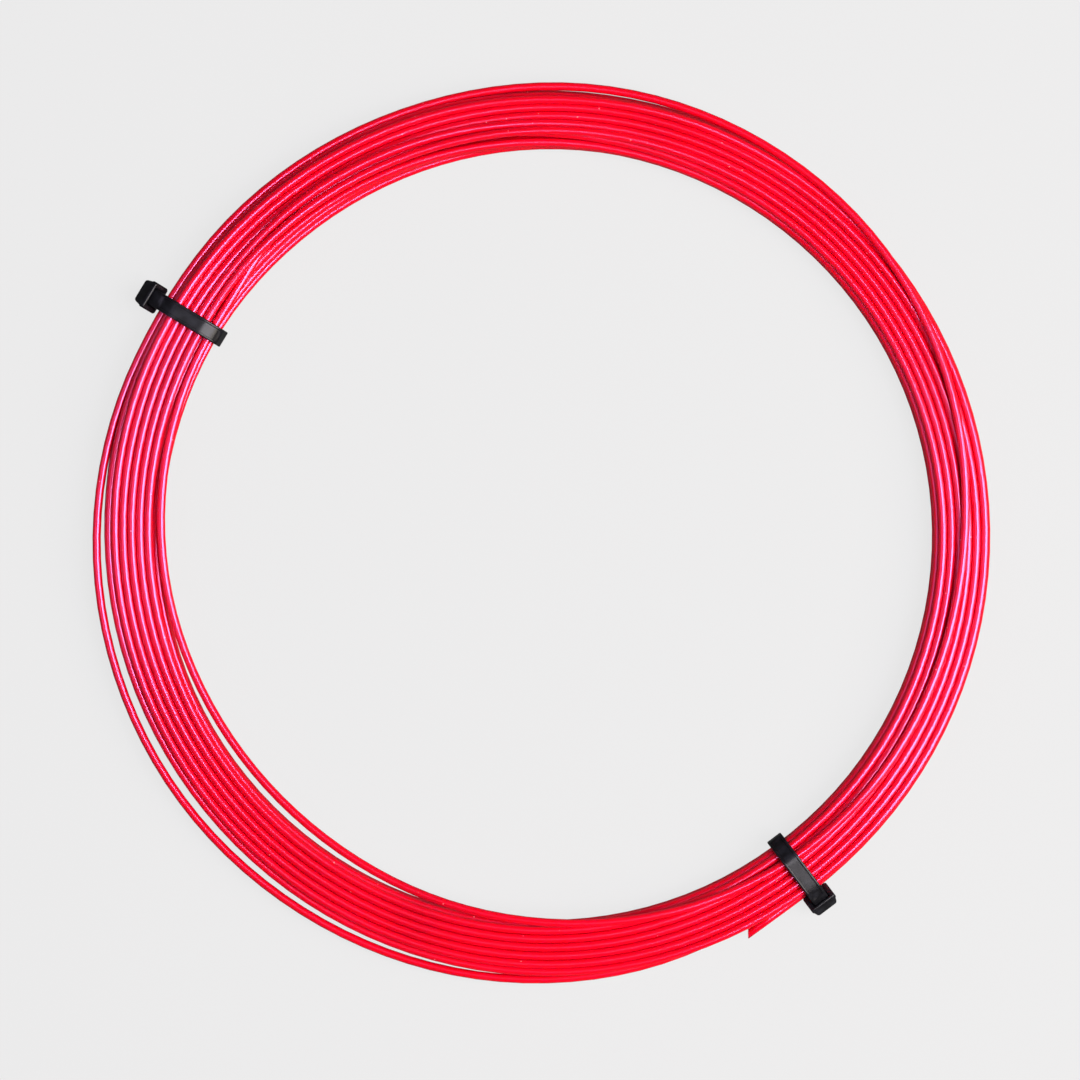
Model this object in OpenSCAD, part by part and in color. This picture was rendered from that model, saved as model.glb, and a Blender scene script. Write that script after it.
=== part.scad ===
// A coil of racket string, held by two small cable ties.
// Z is up and the coil lies flat. The origin is at the coil's centre, on the surface it rests on.

/* [String] */
// Diameter of the string
string_d = 1.25; // [1.1:0.05:1.35]
// Radius of the middle of the coil
coil_r = 61.9; // [56:0.1:80]
// How far the winding lies off centre, so that its loose turns are centred with it
coil_offset = 0.62; // [0:0.01:0.7]
// The way in which the winding lies off centre, in degrees round the coil
coil_offset_at = 335; // [320:5:350]
// Gap between one turn and the next, sideways
turn_gap = 0.44; // [0.44:0.01:0.5]
// Gap between one layer and the next
layer_gap = 0.43; // [0.43:0.01:0.5]
// How far the last turn but one runs out of its place, where it lies loose
outer_slack = 3.8; // [3:0.1:4.4]
// Where that loose turn stands out furthest, in degrees round the coil
outer_loose_at = 212; // [208:1:216]
// How far one turn of the top layer runs in from its place, where it lies loose
inner_slack = 3.2; // [2.4:0.1:4]
// Where that loose turn runs in furthest, in degrees round the coil
inner_loose_at = 226; // [222:1:230]
// Where the string's first end lies round the coil, in degrees
start_at = 297.5; // [290:0.5:300]
// Where the string's last end lies round the coil, in degrees
end_at = 165.6; // [160:0.1:170]

/* [Cable ties] */
// Width of a strap
strap_w = 2.5; // [2:0.1:3]
// Thickness of a strap
strap_t = 1; // [0.9:0.05:1.1]
// Gap between a strap and the turns inside it
strap_gap = 0.25; // [0.2:0.05:0.4]
// Gap between the turns and the two ends of a strap, where they run straight to the head
head_gap = 0.15; // [0.12:0.01:0.25]
// Radius of the strap's middle line at the corners next to the head
head_bend_r = 2; // [1.8:0.05:2.2]
// Radius of the strap's middle line at the corners inside the ring
inner_bend_r = 1.5; // [1.3:0.05:1.5]
// Width of a head at its entry, along the coil
head_w = 4.3; // [4:0.1:5]
// Width of a head at its exit, along the coil
exit_w = 3.6; // [3.4:0.1:4]
// Depth of a head, along its slot
head_depth = 2.8; // [2.6:0.1:3.4]
// Wall of a head outside the slot and behind the pawl
head_wall = 0.45; // [0.35:0.05:0.7]
// Gap on each side of a strap in its slot
slot_gap = 0.1; // [0.08:0.01:0.15]
// Depth of the pocket that holds the pawl
pocket_depth = 0.75; // [0.7:0.05:0.9]
// Spacing of the strap's teeth
tooth_step = 0.7; // [0.5:0.05:0.9]
// Depth of the strap's teeth
tooth_depth = 0.2; // [0.1:0.05:0.25]
// Depth of the panel that is sunk into the strap's outer face
panel_depth = 0.15; // [0.1:0.05:0.2]
// Rim left on each side of the panel
panel_rim = 0.4; // [0.3:0.05:0.6]
// Width of a pawl
pawl_w = 1.8; // [1.4:0.1:2.2]
// Thickness of a pawl's tongue
pawl_t = 0.32; // [0.25:0.01:0.36]
// Gap between a pawl and the pocket round it
pawl_gap = 0.08; // [0.06:0.01:0.1]
// Place of tie A round the coil, in degrees
tie_a_at = 148.9; // [140:1:155]
// Place of tie B round the coil, in degrees
tie_b_at = 307.1; // [304:0.1:312]
// Slope of the slot in tie A's head, in degrees below level
tie_a_slope = 40; // [35:1:50]
// Slope of the slot in tie B's head, in degrees below level
tie_b_slope = 52; // [42:1:58]

/* [Hidden] */

// The winding: the string starts at the outside of the lowest layer and spirals in, out, in and out
// again at a steady rate. Each half turn where the spiral reverses also climbs one layer.
whole_turns = 17;
sides = 6;
turn_step = string_d + turn_gap;
layer_step = string_d + layer_gap;
turns = whole_turns + turned(end_at - start_at) / 360;
climb = 0.25;
climb_at = ((tie_b_at + tie_a_at + 360) / 2 - start_at) / 360;
first_turns = 3;
layer_turns = 5;
layer_starts = [0, for (k = [0 : 2]) first_turns + climb_at + k * layer_turns];
layers = len(layer_starts);
swell = 0.3;
half_span = (layer_turns - 2 * climb) * turn_step / 2;
flat_cut = string_d / 10;
outer_half_angle = 50;
inner_half_angle = 41;
outer_loose_turn = whole_turns + (outer_loose_at - start_at) / 360;
inner_loose_turn = ceil(layer_starts[3]) + (inner_loose_at - start_at) / 360;
// The bundle's size and middle height inside the ties, and how far they lift it.
bundle_w = 2 * half_span + string_d;
bundle_h = (layers - 1) * layer_step + string_d;
bundle_z = strap_t + strap_gap + bundle_h / 2;
lowest_z = string_d / 2 - flat_cut;
tie_lift = bundle_z - (layers - 1) * layer_step / 2 - lowest_z;
function turned(a) = ((a % 360) + 360) % 360;

// Radial place of the spiral, t turns into layer k, measured from the middle of the bundle.
// It goes in on even layers and out on odd ones.
function spiral(k, t) = k == 0
    ? -half_span + max(layer_starts[1] - climb - t, 0) * turn_step
    : (k % 2 == 0 ? -1 : 1) * (-half_span
        + (min(max(t, climb), k < layers - 1 ? layer_turns - climb : t) - climb) * turn_step);
// How far through the climb into layer k the string is, from 0 to 1, at u turns.
function climbed(k, u) = min(max((u - layer_starts[k] + climb) / (2 * climb), 0), 1);
function layer_at(u) = u >= layer_starts[3] ? 3 : u >= layer_starts[2] ? 2
    : u >= layer_starts[1] ? 1 : 0;
function rise(x) = (1 - cos(180 * x)) / 2;
// The reversal swells past the other turns, which keeps it clear of them while it climbs.
function reversal(u) = swell * (-sin(180 * climbed(1, u)) + sin(180 * climbed(2, u))
    - sin(180 * climbed(3, u)));
// A smooth hump of height 1 centred on turn u0, which stays 0 outside its half angle.
function hump(u, u0, half_angle) = abs(u - u0) * 360 >= half_angle ? 0
    : pow(cos((u - u0) * 360 / half_angle * 90), 2);
// The ties hold the coil up where they pass under it, and it sags to the surface halfway between.
function share(a) = turned(a) >= tie_a_at && turned(a) <= tie_b_at
    ? (turned(a) - tie_a_at) / (tie_b_at - tie_a_at)
    : turned(a - tie_b_at) / (360 - tie_b_at + tie_a_at);
function lift(a) = tie_lift * (1 + cos(360 * share(a))) / 2;
function level(u) = layer_step * (rise(climbed(1, u)) + rise(climbed(2, u)) + rise(climbed(3, u)));

function middle_r(a) = coil_r + coil_offset * cos(a - coil_offset_at);
function route_a(u) = start_at + 360 * u;
function route_x(u) = spiral(layer_at(u), u - layer_starts[layer_at(u)]) + reversal(u)
    + outer_slack * hump(u, outer_loose_turn, outer_half_angle)
    - inner_slack * hump(u, inner_loose_turn, inner_half_angle);
function route_r(u) = middle_r(route_a(u)) + route_x(u);
function route_z(u) = lowest_z + level(u) + lift(route_a(u));
function route(u) = [route_r(u) * cos(route_a(u)), route_r(u) * sin(route_a(u)), route_z(u)];

// A loop has 24 rings. Two of them stand on either side of each tie, so the string runs close to
// its true circle inside the ties, and the rest are evenly spaced from tie to tie.
tie_room = 4;
long_steps = 12;
short_steps = 10;
function spread(from, to, steps) = [for (i = [0 : steps]) from + (to - from) * i / steps];
loop_angles = concat(spread(tie_b_at + tie_room, tie_a_at + 360 - tie_room, long_steps),
    spread(tie_a_at + 360 + tie_room, tie_b_at + 360 - tie_room, short_steps));
rings_per_turn = len(loop_angles);
stops = [0, for (m = [0 : whole_turns], a = [tie_b_at - tie_room, each loop_angles])
    let (u = m + (a - start_at) / 360) if (u < turns - 0.01 && (m == 0 || a > loop_angles[0] - 1)) u,
    turns];
ring_count = len(stops) - 1;
path = [for (u = stops) route(u)];
function unit(v) = v / norm(v);
function tangent(i) = unit(path[min(i + 1, ring_count)] - path[max(i - 1, 0)]);
// Each ring stands square to the path, with two of its corners level with the middle.
function ring(i) = let (t = tangent(i), out = unit([t[1], -t[0], 0]), up = cross(out, t))
    [for (j = [0 : sides - 1]) let (
        p = path[i] + string_d / 2 * (cos(360 * j / sides) * out + sin(360 * j / sides) * up))
        [p[0], p[1], max(p[2], 0)]];
coil_points = [for (i = [0 : ring_count]) each ring(i)];
coil_faces = concat(
    [for (i = [0 : ring_count - 1], j = [0 : sides - 1]) let (
        a = i * sides + j, b = i * sides + (j + 1) % sides) each
        [[a, b, b + sides], [a, b + sides, a + sides]]],
    [for (j = [1 : sides - 2]) [0, j + 1, j]],
    [for (j = [1 : sides - 2]) let (e = ring_count * sides) [e, e + j, e + j + 1]]);

// Least distance between two straight stretches p to p + u and q to q + v.
function near01(x) = min(max(x, 0), 1);
function apart(p, u, q, v) = let (w = p - q, a = u * u, b = u * v, c = v * v, d = u * w, e = v * w,
    t = near01((near01((b * e - c * d) / max(a * c - b * b, 1e-6)) * b + e) / c),
    s = near01((b * t - d) / a)) norm(w + s * u - t * v);
least_gap = min([for (i = [0 : ring_count - 1], m = [-3 : 3], n = [1 : ceil(turns)])
    let (j = i + n * rings_per_turn + m)
    if (j < ring_count) apart(path[i], path[i + 1] - path[i], path[j], path[j + 1] - path[j])])
    - string_d;
echo(least_gap_mm = least_gap, string_length_mm = turns * 2 * PI * coil_r);  // string_coil

// The strap's middle line round the bundle.
strap_a = bundle_w / 2 + strap_gap + strap_t / 2;
strap_b = bundle_z - strap_t / 2;
corner_in = [-strap_a + inner_bend_r, strap_b - inner_bend_r];

// In a tie's own plane x runs out from the bundle's middle and y runs up.
// The slot points along slot_way, and the strap's root leaves the head along root_way.
function slot_way(s) = [cos(s), -sin(s)];
function root_way(s) = [-sin(s), -cos(s)];
// How far the turns inside a tie reach along a way w, and how far the strap's middle line clears them.
function turns_at(at) = [for (m = [0 : whole_turns]) let (u = m + turned(at - start_at) / 360)
    if (u < turns) [route_x(u), route_z(u) - bundle_z]];
function cleared(at, w) = max([for (p = turns_at(at)) p * w]) + string_d / 2 + head_gap + strap_t / 2;
// Where the middle lines of the slot and of the root meet.
function head_at(at, s) = cleared(at, slot_way(s)) * slot_way(s) - cleared(at, -root_way(s)) * root_way(s);
// Centres of the two outer bends: each touches one level run of the strap and one straight end.
function bend_top(at, s) = let (y = strap_b - head_bend_r)
    [(cleared(at, -root_way(s)) - head_bend_r - y * cos(s)) / sin(s), y];
function bend_low(at, s) = let (y = head_bend_r - strap_b)
    [(cleared(at, slot_way(s)) - head_bend_r + y * sin(s)) / cos(s), y];

slot_half = strap_t / 2 + slot_gap;
head_low = slot_half + pocket_depth + head_wall;
head_high = slot_half + head_wall;
entry_at = -strap_t / 2;
exit_at = head_depth + entry_at;
head_bevel = 0.4;
taper_at = head_depth / 3 + entry_at;
pawl_root_r = pocket_depth / 2 - pawl_gap;
pawl_root = [pawl_root_r + pawl_gap, -slot_half - pocket_depth / 2];
pawl_inset = 0.35;
pawl_tip_x = exit_at - pawl_inset;
arc_steps = 8;
function arc(c, r, from, to) = [for (i = [0 : arc_steps]) let (a = from + (to - from) * i / arc_steps)
    c + r * [cos(a), sin(a)]];
function flip(p) = [p[0], -p[1]];

// Both faces of the strap at offset o from its middle line, from the cut tail to the root.
function strap_line(at, s, o) = concat(
    [head_at(at, s) + exit_at * slot_way(s) - o * root_way(s)],
    arc(bend_top(at, s), head_bend_r + o, 90 - s, 90),
    arc(corner_in, inner_bend_r + o, 90, 180),
    arc(flip(corner_in), inner_bend_r + o, 180, 270),
    arc(bend_low(at, s), head_bend_r + o, 270, 360 - s),
    [head_at(at, s) + head_low * root_way(s) + o * slot_way(s)]);
function back(list) = [for (i = [len(list) - 1 : -1 : 0]) list[i]];

module in_plane(at) {
    rotate([0, 0, at]) translate([middle_r(at), 0, bundle_z]) rotate([90, 0, 0]) children();
}
module at_head(at, s) {
    translate(head_at(at, s)) rotate(-s) children();
}
// A flat outline in the tie's plane, made w thick and centred on the plane.
module thick(w) {
    translate([0, 0, -w / 2]) linear_extrude(w) children();
}

module strap(at, s) {
    color("#17181c") in_plane(at) difference() {
        thick(strap_w) difference() {
            polygon(concat(strap_line(at, s, strap_t / 2), back(strap_line(at, s, -strap_t / 2))));
            at_head(at, s) teeth();
        }
        thick(strap_w - 2 * panel_rim) panel(at, s);
    }
}
// Saw teeth cut into the strap's inner face where it passes the pawl.
// In the head's own plane x runs along the slot and -y towards the root.
module teeth() {
    for (x = [exit_at - tooth_step : -tooth_step : 0])
        polygon([[x, -strap_t], [x, -strap_t / 2 + tooth_depth], [x + tooth_step, -strap_t / 2],
            [x + tooth_step, -strap_t]]);
}
// The sunk panel follows the strap's outer face over the top, inside and bottom of the coil.
module panel(at, s) {
    outer = strap_t / 2;
    floor_at = strap_t / 2 - panel_depth;
    polygon(concat(arc(bend_top(at, s), head_bend_r + outer, 90 - s, 90),
        arc(corner_in, inner_bend_r + outer, 90, 180),
        back(concat(arc(bend_top(at, s), head_bend_r + floor_at, 90 - s, 90),
            arc(corner_in, inner_bend_r + floor_at, 90, 180)))));
}

module head(at, s) {
    color("#17181c") in_plane(at) at_head(at, s) difference() {
        intersection() {
            thick(head_w) head_outline();
            rotate([90, 0, 0]) translate([0, 0, -head_low]) linear_extrude(head_high + head_low) head_plan();
        }
        thick(strap_w + 2 * slot_gap) translate([-strap_t, -slot_half])
            square([head_depth + 2 * strap_t, 2 * slot_half]);
        thick(pawl_w + 2 * pawl_gap) translate([0, -slot_half - pocket_depth])
            square([head_depth, pocket_depth + slot_half]);
    }
}
// The head from the side and from above: square at the entry, narrower and bevelled at the exit.
module head_outline() {
    polygon([[entry_at, -head_low], [entry_at, head_high], [exit_at - head_bevel, head_high],
        [exit_at, head_high - head_bevel], [exit_at, -head_low + head_bevel],
        [exit_at - head_bevel, -head_low]]);
}
module head_plan() {
    polygon([[entry_at, -head_w / 2], [taper_at, -head_w / 2], [exit_at - head_bevel, -exit_w / 2],
        [exit_at, head_bevel / 2 - exit_w / 2], [exit_at, exit_w / 2 - head_bevel / 2],
        [exit_at - head_bevel, exit_w / 2], [taper_at, head_w / 2], [entry_at, head_w / 2]]);
}

// The pawl is a tongue that swings about a round root in its pocket and points at the exit.
module pawl(at, s) {
    color("#202126") in_plane(at) at_head(at, s) thick(pawl_w) union() {
        translate(pawl_root) circle(r = pawl_root_r, $fn = 32);
        polygon([pawl_root - [0, pawl_t / 2], [pawl_tip_x, -slot_half - pawl_t],
            [pawl_tip_x, -slot_half + pawl_gap / 2], pawl_root + [0, pawl_t / 2]]);
    }
}
module string_coil() {
    color("#e8112d") polyhedron(coil_points, coil_faces, convexity = 10);
}
module tie_a_strap() { strap(tie_a_at, tie_a_slope); }
module tie_a_head() { head(tie_a_at, tie_a_slope); }
module tie_a_pawl() { pawl(tie_a_at, tie_a_slope); }
module tie_b_strap() { strap(tie_b_at, tie_b_slope); }
module tie_b_head() { head(tie_b_at, tie_b_slope); }
module tie_b_pawl() { pawl(tie_b_at, tie_b_slope); }

string_coil();
tie_a_strap();
tie_a_head();
tie_a_pawl();
tie_b_strap();
tie_b_head();
tie_b_pawl();
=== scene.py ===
import math

import bpy
import numpy as np
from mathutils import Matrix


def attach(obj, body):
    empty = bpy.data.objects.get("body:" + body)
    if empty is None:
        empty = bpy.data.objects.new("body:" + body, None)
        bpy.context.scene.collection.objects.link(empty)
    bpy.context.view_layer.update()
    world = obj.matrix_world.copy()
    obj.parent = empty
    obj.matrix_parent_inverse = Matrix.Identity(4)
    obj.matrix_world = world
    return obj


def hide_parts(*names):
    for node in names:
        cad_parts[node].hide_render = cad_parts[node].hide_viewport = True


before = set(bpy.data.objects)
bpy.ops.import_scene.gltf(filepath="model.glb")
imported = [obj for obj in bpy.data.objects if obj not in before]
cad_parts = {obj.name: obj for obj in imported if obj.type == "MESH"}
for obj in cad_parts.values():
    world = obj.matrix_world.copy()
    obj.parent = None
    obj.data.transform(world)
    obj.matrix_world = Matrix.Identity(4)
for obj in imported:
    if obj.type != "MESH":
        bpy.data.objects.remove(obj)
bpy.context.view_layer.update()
mm = 0.001                                            # sizes are in mm and angles in degrees


def linear(hexColour):
    # sRGB hex to linear: x / 12.92 up to 0.04045, else ((x + 0.055) / 1.055) ^ 2.4
    c = np.array([int(hexColour[i:i + 2], 16) / 255 for i in (1, 3, 5)])
    c = np.where(c <= 0.04045, c / 12.92, ((c + 0.055) / 1.055) ** 2.4)
    return (*c.tolist(), 1.0)


def addNode(tree, kind, settings=None, links=None):
    # settings: attribute or input name -> value; links: input name -> socket that feeds it
    node = tree.nodes.new(kind)
    for key, value in (settings or {}).items():
        if isinstance(key, str) and hasattr(node, key):
            setattr(node, key, value)
        else:
            node.inputs[key].default_value = value
    for key, socket in (links or {}).items():
        tree.links.new(socket, node.inputs[key])
    return node


def newMaterial(name):
    # a material with an empty node tree
    material = bpy.data.materials.new(name)
    material.use_nodes = True
    material.node_tree.nodes.clear()
    return material, material.node_tree


def smooth(x):
    # smoothstep: 3x^2 - 2x^3 on 0..1
    x = np.clip(x, 0, 1)
    return x * x * (3 - 2 * x)


def evenOut(v, share):
    # each inner value moves by a share of the way to the average of its two neighbours
    v[1:-1] += share * (0.5 * (v[:-2] + v[2:]) - v[1:-1])


def meshFrom(name, points, faces, uv=None, flatAngle=None):
    # points in metres; every face shades smoothly, apart from edges sharper than flatAngle
    mesh = bpy.data.meshes.new(name)
    mesh.from_pydata(np.asarray(points).tolist(), [], [list(f) for f in faces])
    mesh.update()
    mesh.polygons.foreach_set("use_smooth", [True] * len(mesh.polygons))
    if uv is not None:
        layer = mesh.uv_layers.new(name="UVMap")
        loops = np.empty(len(mesh.loops), int)
        mesh.loops.foreach_get("vertex_index", loops)
        layer.data.foreach_set("uv", np.asarray(uv)[loops].ravel())
    if flatAngle:
        mesh.set_sharp_from_angle(angle=math.radians(flatAngle))
    obj = bpy.data.objects.new(name, mesh)
    bpy.context.scene.collection.objects.link(obj)
    return obj


def gridFaces(rows, columns, closeRows=False, closeColumns=True):
    # quads of a rows x columns grid, wrapped on either side where asked
    i = np.arange(rows if closeRows else rows - 1)
    j = np.arange(columns if closeColumns else columns - 1)
    a, b = np.meshgrid(i, j, indexing="ij")
    a2, b2 = (a + 1) % rows, (b + 1) % columns
    quads = np.stack([a * columns + b, a * columns + b2, a2 * columns + b2, a2 * columns + b], -1)
    return quads.reshape(-1, 4)


def faceOutwards(obj):
    # a negative signed volume, the sum of a . (b x c) over the triangles, means inward faces
    mesh = obj.data
    mesh.calc_loop_triangles()
    corners = np.empty(len(mesh.loop_triangles) * 3, int)
    mesh.loop_triangles.foreach_get("vertices", corners)
    co = np.empty(len(mesh.vertices) * 3)
    mesh.vertices.foreach_get("co", co)
    a, b, c = co.reshape(-1, 3)[corners.reshape(-1, 3)].transpose(1, 0, 2)
    if np.einsum("ij,ij->", a, np.cross(b, c)) < 0:
        mesh.flip_normals()


view = dict(
    pixel=0.1488, imageSize=1080,                     # mm in a pixel of the frame, and its side in pixels
    ringAt=(543.0, 532.5),                            # the pixel of the coil's centre
    lens=100.0, sensor=36.0,
)


def makeCamera():
    # straight above: distance = width seen x lens / sensor, from the bundle's middle at the ties
    width = view["imageSize"] * view["pixel"] * mm
    distance = width * view["lens"] / view["sensor"]
    half = view["imageSize"] / 2
    data = bpy.data.cameras.new("camera")
    data.lens, data.sensor_width = view["lens"], view["sensor"]
    camera = bpy.data.objects.new("camera", data)
    camera.location = (
        (half - view["ringAt"][0]) * view["pixel"] * mm,
        (view["ringAt"][1] - half) * view["pixel"] * mm,
        distance + coil["tieHeight"] * mm,
    )
    bpy.context.scene.collection.objects.link(camera)
    bpy.context.scene.camera = camera
    print("camera", round(distance, 3), "m above the coil")


coil = dict(
    radius=61.9, shift=0.62, shiftAt=335.0,           # circle of the bundle's middle, a little off centre
    tieHeight=4.15, restHeight=2.83,                  # its middle over the floor, at and between the ties
)
string = dict(
    diameter=1.25, length=12.25,                      # racket string, a 40 ft set; length in metres
    firstEnd=297.5, lastEnd=165.6, wholeTurns=31,
    firstSlant=35.0, lastSlant=4.0,                   # how the ends are cut
    freeArc=14, freeOut=1.15, freeHold=0.9,           # the first end's free stretch, and how far it is out
    planesPerTurn=120, sides=16,                      # sections round a turn, sides of the tube
    cutInset=0.86, cutRise=0.05, cutPeak=1.2,         # the cut face's bevel, and its slightly raised middle
)
# One turn lies loose: it bows into the ring, crosses the bundle on top, and bows out past it.
# Each point is the angle, the radius and the height over the bundle's middle.
loose = dict(
    afterTurns=30, fade=25,                           # where it starts, and how gently it joins the bundle
    route=np.array([
        (120, 57.5, 2.2), (150, 57.4, 2.2), (170, 56.9, 2.1), (188, 56.4, 2.0), (205, 55.8, 1.9),
        (221, 55.6, 1.9), (238, 55.9, 2.1), (255, 56.8, 2.5), (270, 57.7, 2.9), (285, 58.9, 3.1),
        (305, 60.6, 3.2), (330, 61.6, 3.2), (360, 62.4, 3.2), (378, 63.9, 3.1), (392, 65.0, 2.9),
        (406, 65.8, 2.5), (426, 66.4, 1.9), (441, 66.5, 1.5), (453, 66.2, 1.3), (465, 65.8, 1.2),
        (480, 65.6, 1.1), (495, 65.5, 1.0), (509, 65.4, 0.9), (525, 65.8, 0.8), (540, 66.4, 0.6),
        (558, 66.8, 0.5), (576, 67.0, 0.4), (592, 66.9, 0.4), (608, 66.8, 0.3), (626, 66.6, 0.3),
        (644, 66.1, 0.2), (667, 65.8, 0.2)]),
)
settling = dict(
    rounds=420, pushes=3, seed=7,
    changeAt=(0.3, 0.75), changeOver=(0.35, 0.6),     # in each turn, when and over how much it changes place
    wave=0.05, waves=7, wavePhase=1.3,                # a small first unevenness
    pull=0.03, loosePull=0.5, looseLift=0.25,         # shares of the way to its place, each round
    squeeze=0.004, tieSqueeze=0.01, sideways=0.6,     # towards the bundle's middle, and more near a tie
    sinkTo=0.3, easing=0.7,                           # how low the middle sinks, how far the squeeze lets go
    tieReach=12, insideTie=3, tieFade=8, tieGrip=0.8,
    bendShare=0.35, pushShare=0.275,                  # evens out bends, parts two strands that overlap
    clearFrom=8, clearOver=10, lastShare=0.5, lastRounds=3,
)


def slotOrder():
    # places in the bundle's section, rows of 6, 7, 6, 7 and 6 nested like stacked pipes, in the
    # order in which the string fills them: in and out, row by row from the bottom
    d = string["diameter"]
    rows = [np.arange(n) - (n - 1) / 2 for n in (6, 7, 6, 7, 6)]
    level = lambda k: (k - 2) * d * math.sqrt(3) / 2
    place = lambda k, xs: [(x * d, level(k)) for x in xs]
    order = place(1, [3]) + place(0, rows[0][::-1]) + place(1, rows[1][:-1]) + place(2, rows[2][::-1])
    order += place(3, rows[3][:-2]) + place(4, rows[4][::-1]) + place(3, [3, 2])
    return np.array(order)


def bundleHeight(angle):
    # a cosine wave from tie to tie: high where a strap passes under, low halfway between
    a, b = ties["tie_a"]["at"], ties["tie_b"]["at"]
    t = np.mod(angle - a, 360)
    share = np.where(t < b - a, t / (b - a), (t - (b - a)) / (360 - b + a))
    lift = (1 + np.cos(2 * np.pi * share)) / 2
    return coil["restHeight"] + (coil["tieHeight"] - coil["restHeight"]) * lift


def naturalCubic(xs, ys, at):
    # natural cubic spline: solves for the second derivatives at the knots, zero at both ends
    h = np.diff(xs)
    count = len(xs)
    a, b = np.eye(count), np.zeros(count)
    k = np.arange(1, count - 1)
    a[k, k - 1], a[k, k], a[k, k + 1] = h[:-1], 2 * (h[:-1] + h[1:]), h[1:]
    b[k] = 6 * (np.diff(ys)[1:] / h[1:] - np.diff(ys)[:-1] / h[:-1])
    m = np.linalg.solve(a, b)
    i = np.clip(np.searchsorted(xs, at) - 1, 0, count - 2)
    p, q = xs[i + 1] - at, at - xs[i]
    curved = (m[i] * p ** 3 + m[i + 1] * q ** 3) / (6 * h[i])
    return curved + (ys[i] / h[i] - m[i] * h[i] / 6) * p + (ys[i + 1] / h[i] - m[i + 1] * h[i] / 6) * q


def planString(angle, places, middle):
    # In each turn a strand goes from one place of the section to the next by a smoothstep, apart from
    # the loose turn, which follows its own spline. hold is 1 where a strand is kept on its plan.
    u = np.arange(len(angle)) / string["planesPerTurn"]
    passes = len(places)
    turn = np.minimum(u.astype(int), passes - 1)
    following = np.minimum(turn + 1, passes - 1)
    rng = np.random.default_rng(settling["seed"])
    centre = rng.uniform(*settling["changeAt"], passes)
    width = rng.uniform(*settling["changeOver"], passes)
    moved = smooth((u - turn - centre[turn]) / width[turn] + 0.5)[:, None]
    x, z = (places[turn] * (1 - moved) + places[following] * moved).T.copy()

    looseAngle = loose["route"][:, 0] + 360 * loose["afterTurns"]
    fade = loose["fade"]
    inLoose = (angle >= looseAngle[0]) & (angle <= looseAngle[-1])
    hold = smooth((angle - looseAngle[0]) / fade) * smooth((looseAngle[-1] - angle) / fade) * inLoose
    x += hold * (naturalCubic(looseAngle, loose["route"][:, 1], angle) - middle - x)
    z += hold * (naturalCubic(looseAngle, loose["route"][:, 2], angle) - z)
    freed = 1 - smooth((angle - angle[0]) / string["freeArc"])
    x += string["freeOut"] * freed
    hold = np.maximum(hold, string["freeHold"] * freed)
    wave = settling["wave"] * np.sin(settling["waves"] * u + settling["wavePhase"] * turn)
    return x, z, x + wave, hold


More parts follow.
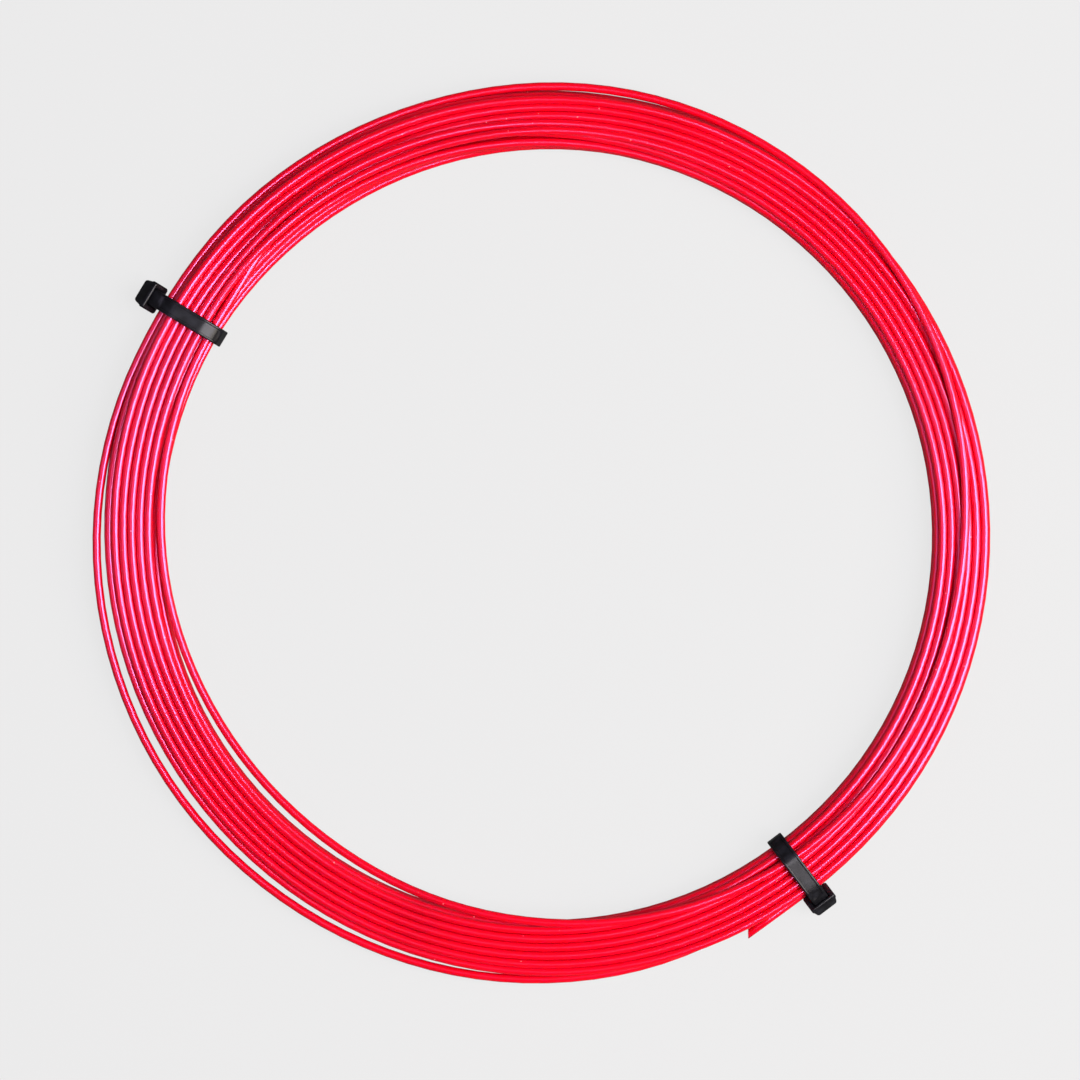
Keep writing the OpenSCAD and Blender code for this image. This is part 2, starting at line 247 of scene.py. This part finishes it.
def windString():
    # Every strand is a point in each of the section planes round the coil: x is across the bundle
    # and z is up. Each round pulls the points towards their places, evens out the string's bends,
    # and pushes apart any two that overlap.
    s, n, d = settling, string["planesPerTurn"], string["diameter"]
    turns = string["wholeTurns"] + ((string["lastEnd"] - string["firstEnd"]) % 360) / 360
    count = round(turns * n) + 1
    angle = string["firstEnd"] + 360 * (np.arange(count) / n)
    middle = coil["radius"] + coil["shift"] * np.cos(np.radians(angle - coil["shiftAt"]))
    height = bundleHeight(angle)
    places = slotOrder()
    passes = len(places)
    wantX, wantZ, x, hold = planString(angle, places, middle)
    z = wantZ.copy()

    nearest = lambda a: np.abs(np.mod(angle - a + 180, 360) - 180)
    toTie = np.minimum(nearest(ties["tie_a"]["at"]), nearest(ties["tie_b"]["at"]))
    tieNear = np.exp(-(toTie / s["tieReach"]) ** 2)
    inTie = 1 - smooth((toTie - s["insideTie"]) / s["tieFade"])
    fitX, fitZ = tie["innerHalfWidth"] - d / 2, tie["innerHalfHeight"] - d / 2

    spare = passes * n - count                        # the last turn's missing planes, kept far away
    away = np.concatenate([np.zeros(count), 1e3 + np.arange(spare)])
    first, second = np.triu_indices(passes, 1)

    def sections(x, z):
        # the strands' places as one row a turn and one column a section plane
        return (np.pad(x, (0, spare)) + away).reshape(passes, n), np.pad(z, (0, spare)).reshape(passes, n)

    def gaps(gx, gz):
        # offsets and distances between every two strands of a plane
        dx, dz = gx[first] - gx[second], gz[first] - gz[second]
        return dx, dz, np.sqrt(dx * dx + dz * dz) + 1e-9

    for k in range(s["rounds"]):
        late = k / s["rounds"]
        pull = s["pull"] * (1 - late)
        x += (wantX - x) * (pull * (1 - hold) + s["loosePull"] * hold)
        z += (wantZ - z) * (pull * (1 - hold) + s["looseLift"] * hold * (1 - late))
        squeeze = (s["squeeze"] + s["tieSqueeze"] * tieNear) * (1 - hold * (1 - tieNear))
        squeeze = squeeze * (1 - s["easing"] * late)
        x -= squeeze * x * s["sideways"]
        z -= squeeze * (z + s["sinkTo"])
        x += (np.clip(x, -fitX, fitX) - x) * inTie * s["tieGrip"]
        z += (np.clip(z, -fitZ, fitZ) - z) * inTie * s["tieGrip"]
        for v in (x, x, z, z):
            evenOut(v, s["bendShare"])
        gx, gz = sections(x, z)
        for _ in range(s["pushes"]):
            dx, dz, dist = gaps(gx, gz)
            push = np.clip(d - dist, 0, None) * s["pushShare"] / dist
            moveX, moveZ = np.zeros_like(gx), np.zeros_like(gz)
            np.add.at(moveX, first, dx * push)
            np.add.at(moveX, second, -dx * push)
            np.add.at(moveZ, first, dz * push)
            np.add.at(moveZ, second, -dz * push)
            gx, gz = gx + moveX, gz + moveZ
        x, z = gx.ravel()[:count].copy(), gz.ravel()[:count].copy()
        z = np.maximum(z, d / 2 - height)
    clear = smooth((toTie - s["clearFrom"]) / s["clearOver"])[1:-1]
    for v in (x, z) * s["lastRounds"]:                # the small kinks at the touching points
        evenOut(v, s["lastShare"] * clear)
    z = np.maximum(z, d / 2 - height)

    deepest = float((d - gaps(*sections(x, z))[2]).max())
    radius, rad = middle + x, np.radians(angle)
    path = np.stack([radius * np.cos(rad), radius * np.sin(rad), z + height], 1)
    length = np.linalg.norm(np.diff(path, axis=0), axis=1).sum() / 1000
    print("string wound:", round(turns, 2), "turns,", round(length, 3), "m")
    print("strands press into each other by", round(deepest, 3), "mm at most")
    return path, angle, np.stack([radius, z + height], 1)


def tubeMesh(name, path):
    # a circle carried along the path, square to it; the end rings lean to give the cut ends their
    # slant, then a smaller ring and a middle point close each end
    d, sides = string["diameter"], string["sides"]
    tangent = np.gradient(path, axis=0)
    tangent /= np.linalg.norm(tangent, axis=1)[:, None]
    out = np.stack([tangent[:, 1], -tangent[:, 0], np.zeros(len(path))], 1)
    out /= np.linalg.norm(out, axis=1)[:, None]
    up = np.cross(out, tangent)
    turn = 2 * np.pi * np.arange(sides) / sides
    circle = out[:, None] * np.cos(turn)[None, :, None] + up[:, None] * np.sin(turn)[None, :, None]
    points = path[:, None] + d / 2 * circle
    for end, slant, sign in ((0, string["firstSlant"], -1), (-1, string["lastSlant"], 1)):
        lean = math.tan(math.radians(slant)) * d / 2 * (1 + np.cos(turn)) * sign
        points[end] = points[end] + lean[:, None] * tangent[end]
    rings = [points.reshape(-1, 3)]
    faces = gridFaces(len(path), sides).tolist()
    total = len(path) * sides
    along = np.concatenate([[0], np.cumsum(np.linalg.norm(np.diff(path, axis=0), axis=1))])
    around = np.abs(1 - turn / np.pi)                 # 1, 0 and back to 1 round the tube, without a seam
    uvs = [np.stack(np.meshgrid(around, along / 1000, indexing="xy"), -1).reshape(-1, 2)]
    for end, first, flip in ((0, 0, True), (-1, (len(path) - 1) * sides, False)):
        centre = points[end].mean(0)
        inset = centre + (points[end] - centre) * string["cutInset"]
        nose = tangent[end] * (string["cutRise"] if end else -string["cutRise"])
        rings += [inset + nose, (centre + nose * string["cutPeak"])[None]]
        uvs += [np.full((sides + 1, 2), -1.0)]
        j = np.arange(sides)
        k = (j + 1) % sides
        band = np.stack([first + j, first + k, total + k, total + j], 1)
        fan = np.stack([total + j, total + k, np.full(sides, total + sides)], 1)
        faces += (band[:, ::-1] if flip else band).tolist() + (fan[:, ::-1] if flip else fan).tolist()
        total += sides + 1
    return meshFrom(name, np.concatenate(rings) * mm, faces, np.concatenate(uvs))


def monofilament():
    # drawn polyester monofilament: a smooth round plastic thread, slightly clear, so it has a deep
    # even colour with long narrow highlights, faint draw lines along it and a few specks of dust
    look = dict(
        red="#D00019", deepRed="#BC0016", dust="#F3C9C9",
        glossTint=(1.0, 0.04, 0.65, 1.0), rough=(0.22, 0.25), coat=0.8, coatRough=0.22,
        drawLines=(20.0, 12.0, 1.0),                  # lines on half the tube's round, and changes in a metre
        tonePerMm=0.045, speckPerMm=0.42,             # slow changes of tone 22 mm long, cells of 2.4 mm
        speckEdge=(0.05, 0.035), dustShare=0.35,      # a speck is at most a tenth of its cell wide
        clear=0.7, clearRadius=(1.0, 0.05, 0.1), clearDepth=1.2,
    )
    material, tree = newMaterial("drawnPolyesterString")
    uv = addNode(tree, "ShaderNodeUVMap", {"uv_map": "UVMap"}).outputs["UV"]
    where = addNode(tree, "ShaderNodeTexCoord").outputs["Object"]
    stretched = addNode(tree, "ShaderNodeMapping", {"Scale": look["drawLines"]}, {"Vector": uv})
    drawLines = addNode(tree, "ShaderNodeTexNoise", {"Scale": 1.0, "Detail": 2.0},
                        {"Vector": stretched.outputs[0]})
    slow = addNode(tree, "ShaderNodeTexNoise", {"Scale": look["tonePerMm"] / mm, "Detail": 1.0},
                   {"Vector": where})
    band = addNode(tree, "ShaderNodeMapRange", {"From Min": 0.25, "From Max": 0.5},
                   {"Value": slow.outputs["Fac"]})
    tone = addNode(tree, "ShaderNodeMix", {"data_type": "RGBA", 6: linear(look["deepRed"]),
                                           7: linear(look["red"])}, {0: band.outputs[0]})
    specks = addNode(tree, "ShaderNodeTexVoronoi", {"Scale": look["speckPerMm"] / mm}, {"Vector": where})
    dusty = addNode(tree, "ShaderNodeMapRange", {
        "From Min": look["speckEdge"][0], "From Max": look["speckEdge"][1]},
        {"Value": specks.outputs["Distance"]})
    dustShare = addNode(tree, "ShaderNodeMath", {"operation": "MULTIPLY", 1: look["dustShare"]},
                        {0: dusty.outputs[0]})
    dusted = addNode(tree, "ShaderNodeMix", {"data_type": "RGBA", 7: linear(look["dust"])},
                     {0: dustShare.outputs[0], 6: tone.outputs[2]})
    rough = addNode(tree, "ShaderNodeMapRange", {"To Min": look["rough"][0], "To Max": look["rough"][1]},
                    {"Value": drawLines.outputs["Fac"]})
    shader = addNode(tree, "ShaderNodeBsdfPrincipled", {
        "IOR": 1.5, "Specular IOR Level": 1.0, "Specular Tint": look["glossTint"],
        "Coat Weight": look["coat"], "Coat Roughness": look["coatRough"],
        "Subsurface Weight": look["clear"], "Subsurface Radius": look["clearRadius"],
        "Subsurface Scale": look["clearDepth"] * mm,
    }, {"Base Color": dusted.outputs[2], "Roughness": rough.outputs[0]})
    addNode(tree, "ShaderNodeOutputMaterial", {}, {"Surface": shader.outputs[0]})
    return material


def cutPolyester():
    # the freshly cut end of the same string: duller and paler, with the cutter's fine marks
    look = dict(pale="#F0506A", marksPerMm=6.0, markDepth=0.04)
    material, tree = newMaterial("cutPolyesterEnd")
    where = addNode(tree, "ShaderNodeTexCoord").outputs["Object"]
    marks = addNode(tree, "ShaderNodeTexNoise", {"Scale": look["marksPerMm"] / mm}, {"Vector": where})
    bump = addNode(tree, "ShaderNodeBump", {"Strength": 0.4, "Distance": look["markDepth"] * mm},
                   {"Height": marks.outputs["Fac"]})
    shader = addNode(tree, "ShaderNodeBsdfPrincipled", {
        "Base Color": linear(look["pale"]), "Roughness": 0.5, "IOR": 1.57}, {"Normal": bump.outputs[0]})
    addNode(tree, "ShaderNodeOutputMaterial", {}, {"Surface": shader.outputs[0]})
    return material


def makeString():
    # the wound tube in place of the coil's solid, with the last faces of its mesh as the cut ends
    path, angle, strands = windString()
    tube = tubeMesh("string_turns", path)
    tube.data.materials.append(monofilament())
    tube.data.materials.append(cutPolyester())
    endFaces = string["sides"] * 4
    slots = np.zeros(len(tube.data.polygons), int)
    slots[-endFaces:] = 1
    tube.data.polygons.foreach_set("material_index", slots)
    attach(tube, "coil")
    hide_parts("string_coil")
    print("string mesh:", len(tube.data.polygons), "faces")
    return angle, strands


tie = dict(
    strapWidth=2.5, strapThickness=1.0, rim=0.36, panelDepth=0.25, rimSoft=0.05, edgeRound=0.15,
    panelFrom=0.13, panelTo=0.6, panelFade=0.02,      # shares of the strap's length
    panelUp=0.25, panelUpFade=0.3,                    # the panel shows where the strap faces upwards
    innerHalfWidth=4.55, innerHalfHeight=3.3,         # room inside the strap
    headWidth=4.3, exitWidth=3.6, headDepth=2.8, headWall=0.45, slotGap=0.1, pocketDepth=0.75,
    pawlWidth=1.8, pawlGap=0.08, clearance=0.03,
    entryLead=0.25, rootSink=0.1, rootDepth=0.7, tailShow=0.06,   # how the strap meets the head
    strapStep=0.2, strapRounds=4, circleSides=48,
)
# Each tie's place round the coil, its plane's origin (radius and height), and in that plane the
# point where the strap enters the head (out and up) and the head's slope.
ties = {
    "tie_a": dict(at=148.9, slope=40.0, head=(6.459, 1.289), middle=(61.283, 4.395)),
    "tie_b": dict(at=307.1, slope=52.0, head=(6.122, -0.606), middle=(62.448, 4.395)),
}


def tiePlane(key, points):
    # from a tie's own plane (out, up, along the coil) to the world: turned by the tie's angle
    spec = ties[key]
    a = math.radians(spec["at"])
    p = np.atleast_2d(points)
    r = spec["middle"][0] + p[:, 0]
    return np.stack([r * math.cos(a) - p[:, 2] * math.sin(a), r * math.sin(a) + p[:, 2] * math.cos(a),
                     spec["middle"][1] + p[:, 1]], 1)


def convexHull(points):
    # monotone chain, anticlockwise
    pts = sorted(map(tuple, points))
    cross = lambda o, a, b: (a[0] - o[0]) * (b[1] - o[1]) - (a[1] - o[1]) * (b[0] - o[0])

    def half(sequence):
        chain = []
        for p in sequence:
            while len(chain) > 1 and cross(chain[-2], chain[-1], p) <= 0:
                chain.pop()
            chain.append(p)
        return chain[:-1]
    return np.array(half(pts) + half(pts[::-1]))


def slotWay(key):
    # the direction of the head's slot: outwards and down by the slope
    s = math.radians(ties[key]["slope"])
    return np.array([math.cos(s), -math.sin(s)])


def rootWay(key):
    # square to the slot, towards the strap's root
    s = math.radians(ties[key]["slope"])
    return np.array([-math.sin(s), -math.cos(s)])


def strapLine(key, strands):
    # The strap is pulled tight: its middle line is the hull of the circles round the strands, which
    # leaves the head at the root, goes round the coil and comes over the top into the slot.
    t = tie["strapThickness"]
    reach = string["diameter"] / 2 + t / 2 + tie["clearance"]
    turn = 2 * np.pi * np.arange(tie["circleSides"]) / tie["circleSides"]
    circles = strands[:, None] + reach * np.stack([np.cos(turn), np.sin(turn)], 1)[None]
    head = np.array(ties[key]["head"])
    lowSide = t / 2 + tie["slotGap"] + tie["pocketDepth"] + tie["headWall"]
    entry = head - (t / 2 + tie["entryLead"]) * slotWay(key)
    root = head + (lowSide - tie["rootSink"]) * rootWay(key)
    hull = convexHull(np.concatenate([circles.reshape(-1, 2), [entry, root]]))
    start = int(np.argmin(np.linalg.norm(hull - entry, axis=1)))
    hull = np.roll(hull, -start, axis=0)
    stop = int(np.argmin(np.linalg.norm(hull - root, axis=1)))
    if stop > len(hull) / 3:
        line = hull[:stop + 1]
    else:                                             # the root comes first this way, so go the other way
        line = np.roll(hull[::-1], 1, axis=0)[:len(hull) - stop + 1]
    exitPoint = head + (tie["headDepth"] - t / 2 + tie["tailShow"]) * slotWay(key)
    line = np.concatenate([[exitPoint, head], line, [root - tie["rootDepth"] * rootWay(key)]])
    steps = np.concatenate([[0], np.cumsum(np.linalg.norm(np.diff(line, axis=0), axis=1))])
    even = np.linspace(0, steps[-1], round(steps[-1] / tie["strapStep"]))
    line = np.stack([np.interp(even, steps, line[:, k]) for k in (0, 1)], 1)
    for _ in range(tie["strapRounds"]):
        evenOut(line, 0.5)
    return line


def strapSection():
    # half the strap's outline as offsets (across, outwards): rounded edges and a sunk panel
    # outside; the other half is its mirror image
    w, t = tie["strapWidth"] / 2, tie["strapThickness"] / 2
    e, rim, sunk, soft = tie["edgeRound"], tie["rim"], tie["panelDepth"], tie["rimSoft"]
    half = np.array([
        (0, t - sunk), (w - rim - soft, t - sunk), (w - rim - soft / 3, t - sunk * 0.75),
        (w - rim, t - soft / 3), (w - rim + soft, t), (w - e, t), (w - e * 0.3, t - e * 0.3),
        (w, t - e), (w, -t + e), (w - e * 0.3, -t + e * 0.3), (w - e, -t), (0, -t)])
    return np.concatenate([half, half[-2:0:-1] * [-1, 1]])


def makeStrap(key, strands):
    # the section carried along the strap's line: line + outward x offset; the panel is filled up
    # inside the head and where the strap doesn't face upwards
    line = strapLine(key, strands)
    tangent = np.gradient(line, axis=0)
    tangent /= np.linalg.norm(tangent, axis=1)[:, None]
    outward = np.stack([tangent[:, 1], -tangent[:, 0]], 1)
    middle = line.mean(0)
    if ((line[len(line) // 2] - middle) * outward[len(line) // 2]).sum() < 0:
        outward = -outward
    section = strapSection()
    half = tie["strapThickness"] / 2
    along = np.linspace(0, 1, len(line))
    sunk = smooth((along - tie["panelFrom"]) / tie["panelFade"]) * (along < tie["panelTo"])
    sunk = sunk * smooth((outward[:, 1] - tie["panelUp"]) / tie["panelUpFade"])
    flat = section.copy()
    top = section[:, 1] > half - tie["panelDepth"] - 1e-6
    flat[top & (np.abs(section[:, 0]) < tie["strapWidth"] / 2 - tie["edgeRound"]), 1] = half
    shape = flat[None] + (section - flat)[None] * sunk[:, None, None]
    flatPoints = line[:, None] + outward[:, None] * shape[:, :, 1:2]
    points = np.concatenate([flatPoints, shape[:, :, 0:1]], 2)
    columns = len(section)
    faces = gridFaces(len(line), columns).tolist()
    ends = [[*range(columns)][::-1], [*range((len(line) - 1) * columns, len(line) * columns)]]
    world = tiePlane(key, points.reshape(-1, 3)) * mm
    obj = meshFrom(key + "_strap_band", world, faces + ends, flatAngle=50)
    faceOutwards(obj)
    return obj


def roundedRectangle(halfX, halfY, radius, perCorner=6):
    # corner arcs joined by straight sides, anticlockwise
    quarter = np.linspace(0, np.pi / 2, perCorner)
    parts = []
    for k, (sx, sy) in enumerate(((1, 1), (-1, 1), (-1, -1), (1, -1))):
        a = quarter + k * np.pi / 2
        parts.append(np.stack([sx * (halfX - radius) + radius * np.cos(a),
                               sy * (halfY - radius) + radius * np.sin(a)], 1))
    return np.concatenate(parts)


def makeHead(key):
    # outlines lofted along the slot: up the outside with a bevel at each end, then back through the
    # slot, so the shell closes on itself; each outline is (across the strap, away from the root)
    t, wall = tie["strapThickness"], tie["headWall"]
    half = t / 2 + tie["slotGap"]
    low, high = -(half + tie["pocketDepth"] + wall), half + wall
    front, back = -t / 2, tie["headDepth"] - t / 2
    w0, w1 = tie["headWidth"] / 2, tie["exitWidth"] / 2
    centre, tall = (low + high) / 2, (high - low) / 2
    slotW = tie["strapWidth"] / 2 + tie["slotGap"]
    slotLow, slotHigh = -half - tie["pocketDepth"], half
    slotC, slotT = (slotLow + slotHigh) / 2, (slotHigh - slotLow) / 2
    pocketW = tie["pawlWidth"] / 2 + tie["pawlGap"]
    loops = []

    def loop(x, halfW, halfT, c, r):
        ring = roundedRectangle(halfW, halfT, r)
        loops.append(np.stack([np.full(len(ring), x), ring[:, 1] + c, ring[:, 0]], 1))

    def slotLoop(x, gap):
        # a T outline, wide where the strap goes through and narrow for the pawl under it, with as
        # many points as the rounded outlines have
        w, top, step = tie["strapWidth"] / 2 + gap, t / 2 + gap, -half
        side = [(w, top * s) for s in (0.98, 0.985, 0.99, 0.995)]
        corner = side + [(w, top), (w - 0.02, top)]
        foot = [(pocketW, slotLow), (pocketW, slotLow + 0.02), (pocketW, step - 0.02),
                (pocketW + 0.01, step), (w - 0.01, step), (w, step + 0.01)]
        mirror = lambda row: [(-a, b) for a, b in row[::-1]]
        ring = np.array(corner + mirror(corner) + mirror(foot) + foot)
        loops.append(np.stack([np.full(len(ring), x), ring[:, 1], ring[:, 0]], 1))

    loop(front, w0 - 0.25, tall - 0.2, centre, 0.2)
    loop(front + 0.05, w0 - 0.1, tall - 0.08, centre, 0.3)
    loop(front + 0.2, w0, tall, centre, 0.38)
    loop(front + 0.9, w0, tall, centre, 0.38)
    loop(front + 1.1, w0 - 0.12, tall - 0.03, centre, 0.38)
    loop(back - 0.5, w1 + 0.02, tall - 0.1, centre, 0.38)
    loop(back - 0.3, w1 - 0.05, tall - 0.16, centre, 0.36)
    loop(back - 0.06, w1 - 0.3, tall - 0.36, centre, 0.25)
    loop(back, w1 - 0.38, tall - 0.42, centre, 0.2)
    loop(back, slotW + 0.1, slotT + 0.02, slotC, 0.1)
    loop(back - 0.06, slotW, slotT, slotC, 0.1)
    slotLoop(back - 0.12, 0.02)
    slotLoop(front + 0.3, 0.02)
    loop(front + 0.06, slotW + 0.05, slotT, slotC, 0.1)
    loop(front, slotW + 0.16, slotT + 0.08, slotC, 0.14)
    points = np.array(loops)
    flatPoints = np.array(ties[key]["head"]) + points[..., 0:1] * slotWay(key)
    flatPoints = flatPoints + points[..., 1:2] * -rootWay(key)
    world = tiePlane(key, np.concatenate([flatPoints, points[..., 2:3]], 2).reshape(-1, 3)) * mm
    faces = gridFaces(len(loops), points.shape[1], closeRows=True)
    obj = meshFrom(key + "_head_shell", world, faces, flatAngle=40)
    faceOutwards(obj)
    return obj


def mouldedNylon():
    # injection moulded nylon 6/6, dyed black: satin with a fine mould grain, paler where it is rubbed
    look = dict(
        black="#0C0C0F", worn="#1B1C21", rough=(0.28, 0.42), gloss=0.22,
        grainPerMm=5.0, grainDepth=0.02,              # grain 0.2 mm apart
        patchPerMm=0.7, patchEdge=(0.45, 0.75),       # rubbed patches about 1.4 mm wide
    )
    material, tree = newMaterial("mouldedBlackNylon")
    where = addNode(tree, "ShaderNodeTexCoord").outputs["Object"]
    grain = addNode(tree, "ShaderNodeTexNoise", {"Scale": look["grainPerMm"] / mm, "Detail": 3.0},
                    {"Vector": where})
    patches = addNode(tree, "ShaderNodeTexNoise", {"Scale": look["patchPerMm"] / mm, "Detail": 2.0},
                      {"Vector": where})
    worn = addNode(tree, "ShaderNodeMapRange", {
        "From Min": look["patchEdge"][0], "From Max": look["patchEdge"][1]},
        {"Value": patches.outputs["Fac"]})
    tone = addNode(tree, "ShaderNodeMix", {"data_type": "RGBA", 6: linear(look["black"]),
                                           7: linear(look["worn"])}, {0: worn.outputs[0]})
    rough = addNode(tree, "ShaderNodeMapRange", {"To Min": look["rough"][0], "To Max": look["rough"][1]},
                    {"Value": patches.outputs["Fac"]})
    bump = addNode(tree, "ShaderNodeBump", {"Strength": 0.15, "Distance": look["grainDepth"] * mm},
                   {"Height": grain.outputs["Fac"]})
    shader = addNode(tree, "ShaderNodeBsdfPrincipled", {"IOR": 1.53, "Specular IOR Level": look["gloss"]}, {
        "Base Color": tone.outputs[2], "Roughness": rough.outputs[0], "Normal": bump.outputs[0]})
    addNode(tree, "ShaderNodeOutputMaterial", {}, {"Surface": shader.outputs[0]})
    return material


def makeTies(angle, strands):
    # each tie goes round the strands in the one section plane nearest to it
    nylon = mouldedNylon()
    for key, spec in ties.items():
        off = np.mod(angle - spec["at"] + 180, 360) - 180
        near = np.abs(off) < 180 / string["planesPerTurn"] + 1e-6
        band = makeStrap(key, strands[near] - spec["middle"])
        head = makeHead(key)
        for piece, node in ((band, key + "_strap"), (head, key + "_head")):
            piece.data.materials.append(nylon)
            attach(piece, key)
            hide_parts(node)
        pawl = bpy.data.objects[key + "_pawl"]
        pawl.data.materials.clear()
        pawl.data.materials.append(nylon)
        print(key, "made round", int(near.sum()), "strands")


studio = dict(
    wall="#EBEBEB", floorHalf=30.0,                   # the floor's half size in metres
    paperShade=0.5, plainShare=0.93, glossyLevel=0.12,
    skyTop=0.02, skySides=0.08, skyFrom=0.2, skyTo=0.9,
)
lights = {
    # azimuth and elevation, distance, width and height in metres, power in watts, colour
    "rightHigh": dict(azimuth=-12, elevation=66, distance=0.61, size=(0.3, 0.3),
                      power=5.6, colour="#FBF6FF"),
    "rightLow": dict(azimuth=-12, elevation=38, distance=0.61, size=(0.45, 0.3),
                     power=4.4, colour="#FFF2E2"),
    "leftBox": dict(azimuth=176, elevation=60, distance=0.62, size=(0.3, 0.2),
                    power=0.55, colour="#E6DAFF"),
    "leftFill": dict(azimuth=178, elevation=35, distance=0.8, size=(0.8, 0.5),
                     power=0.35, colour="#EEE6FF"),
    "rightFill": dict(azimuth=-2, elevation=35, distance=0.8, size=(0.8, 0.5),
                      power=0.6, colour="#FFF6F0"),
}


def makeFloor():
    # the camera sees plainShare of the plain wall colour and the rest of lit paper, which takes the
    # shadow; other rays meet lit paper, and glossy ones a dim wall colour
    size = studio["floorHalf"]
    corners = [(-size, -size, 0), (size, -size, 0), (size, size, 0), (-size, size, 0)]
    floor = meshFrom("floor", corners, [(0, 1, 2, 3)])
    material, tree = newMaterial("paperFloor")
    paper = addNode(tree, "ShaderNodeBsdfDiffuse", {"Color": (*[studio["paperShade"]] * 3, 1.0)})
    plain = addNode(tree, "ShaderNodeEmission", {"Color": linear(studio["wall"]), "Strength": 1.0})
    rays = addNode(tree, "ShaderNodeLightPath")
    seen = addNode(tree, "ShaderNodeMath", {"operation": "MAXIMUM"},
                   {0: rays.outputs["Is Camera Ray"], 1: rays.outputs["Is Transmission Ray"]})
    share = addNode(tree, "ShaderNodeMath", {"operation": "MULTIPLY", 1: studio["plainShare"]},
                    {0: seen.outputs[0]})
    mix = addNode(tree, "ShaderNodeMixShader", {},
                  {0: share.outputs[0], 1: paper.outputs[0], 2: plain.outputs[0]})
    dim = addNode(tree, "ShaderNodeEmission", {"Color": linear(studio["wall"]),
                                               "Strength": studio["glossyLevel"]})
    both = addNode(tree, "ShaderNodeMixShader", {},
                   {0: rays.outputs["Is Glossy Ray"], 1: mix.outputs[0], 2: dim.outputs[0]})
    addNode(tree, "ShaderNodeOutputMaterial", {}, {"Surface": both.outputs[0]})
    floor.data.materials.append(material)
    print("floor laid")


def makeLights():
    # each lamp stands at distance x (cos a cos e, sin a cos e, sin e) and faces the coil's centre
    for name, spec in lights.items():
        data = bpy.data.lights.new(name, "AREA")
        data.shape = "RECTANGLE"
        data.size, data.size_y = spec["size"]
        data.energy = spec["power"]
        data.color = linear(spec["colour"])[:3]
        lamp = bpy.data.objects.new(name, data)
        a, e = math.radians(spec["azimuth"]), math.radians(spec["elevation"])
        way = np.array([math.cos(a) * math.cos(e), math.sin(a) * math.cos(e), math.sin(e)])
        lamp.location = way * spec["distance"]
        lamp.rotation_euler = (math.pi / 2 - e, 0, a + math.pi / 2)
        bpy.context.scene.collection.objects.link(lamp)
    print(len(lights), "lamps placed")


def makeWorld():
    # a dim sky, from skySides near the horizon to skyTop overhead by a smoothstep; the camera
    # sees the wall colour instead
    world = bpy.data.worlds.new("studio")
    bpy.context.scene.world = world
    world.use_nodes = True
    tree = world.node_tree
    tree.nodes.clear()
    way = addNode(tree, "ShaderNodeTexCoord").outputs["Generated"]
    height = addNode(tree, "ShaderNodeSeparateXYZ", {}, {"Vector": way}).outputs["Z"]
    level = addNode(tree, "ShaderNodeMapRange", {
        "interpolation_type": "SMOOTHSTEP", "From Min": studio["skyFrom"], "From Max": studio["skyTo"],
        "To Min": studio["skySides"], "To Max": studio["skyTop"]}, {"Value": height})
    sky = addNode(tree, "ShaderNodeBackground", {"Color": linear("#FFFFFF")}, {"Strength": level.outputs[0]})
    wall = addNode(tree, "ShaderNodeBackground", {"Color": linear(studio["wall"]), "Strength": 1.0})
    seen = addNode(tree, "ShaderNodeLightPath").outputs["Is Camera Ray"]
    both = addNode(tree, "ShaderNodeMixShader", {}, {0: seen, 1: sky.outputs[0], 2: wall.outputs[0]})
    addNode(tree, "ShaderNodeOutputWorld", {}, {"Surface": both.outputs[0]})
    print("sky and wall set")


makeCamera()
stringAngle, stringStrands = makeString()
makeTies(stringAngle, stringStrands)
makeFloor()
makeLights()
makeWorld()
bpy.context.scene.view_settings.view_transform = "Standard"
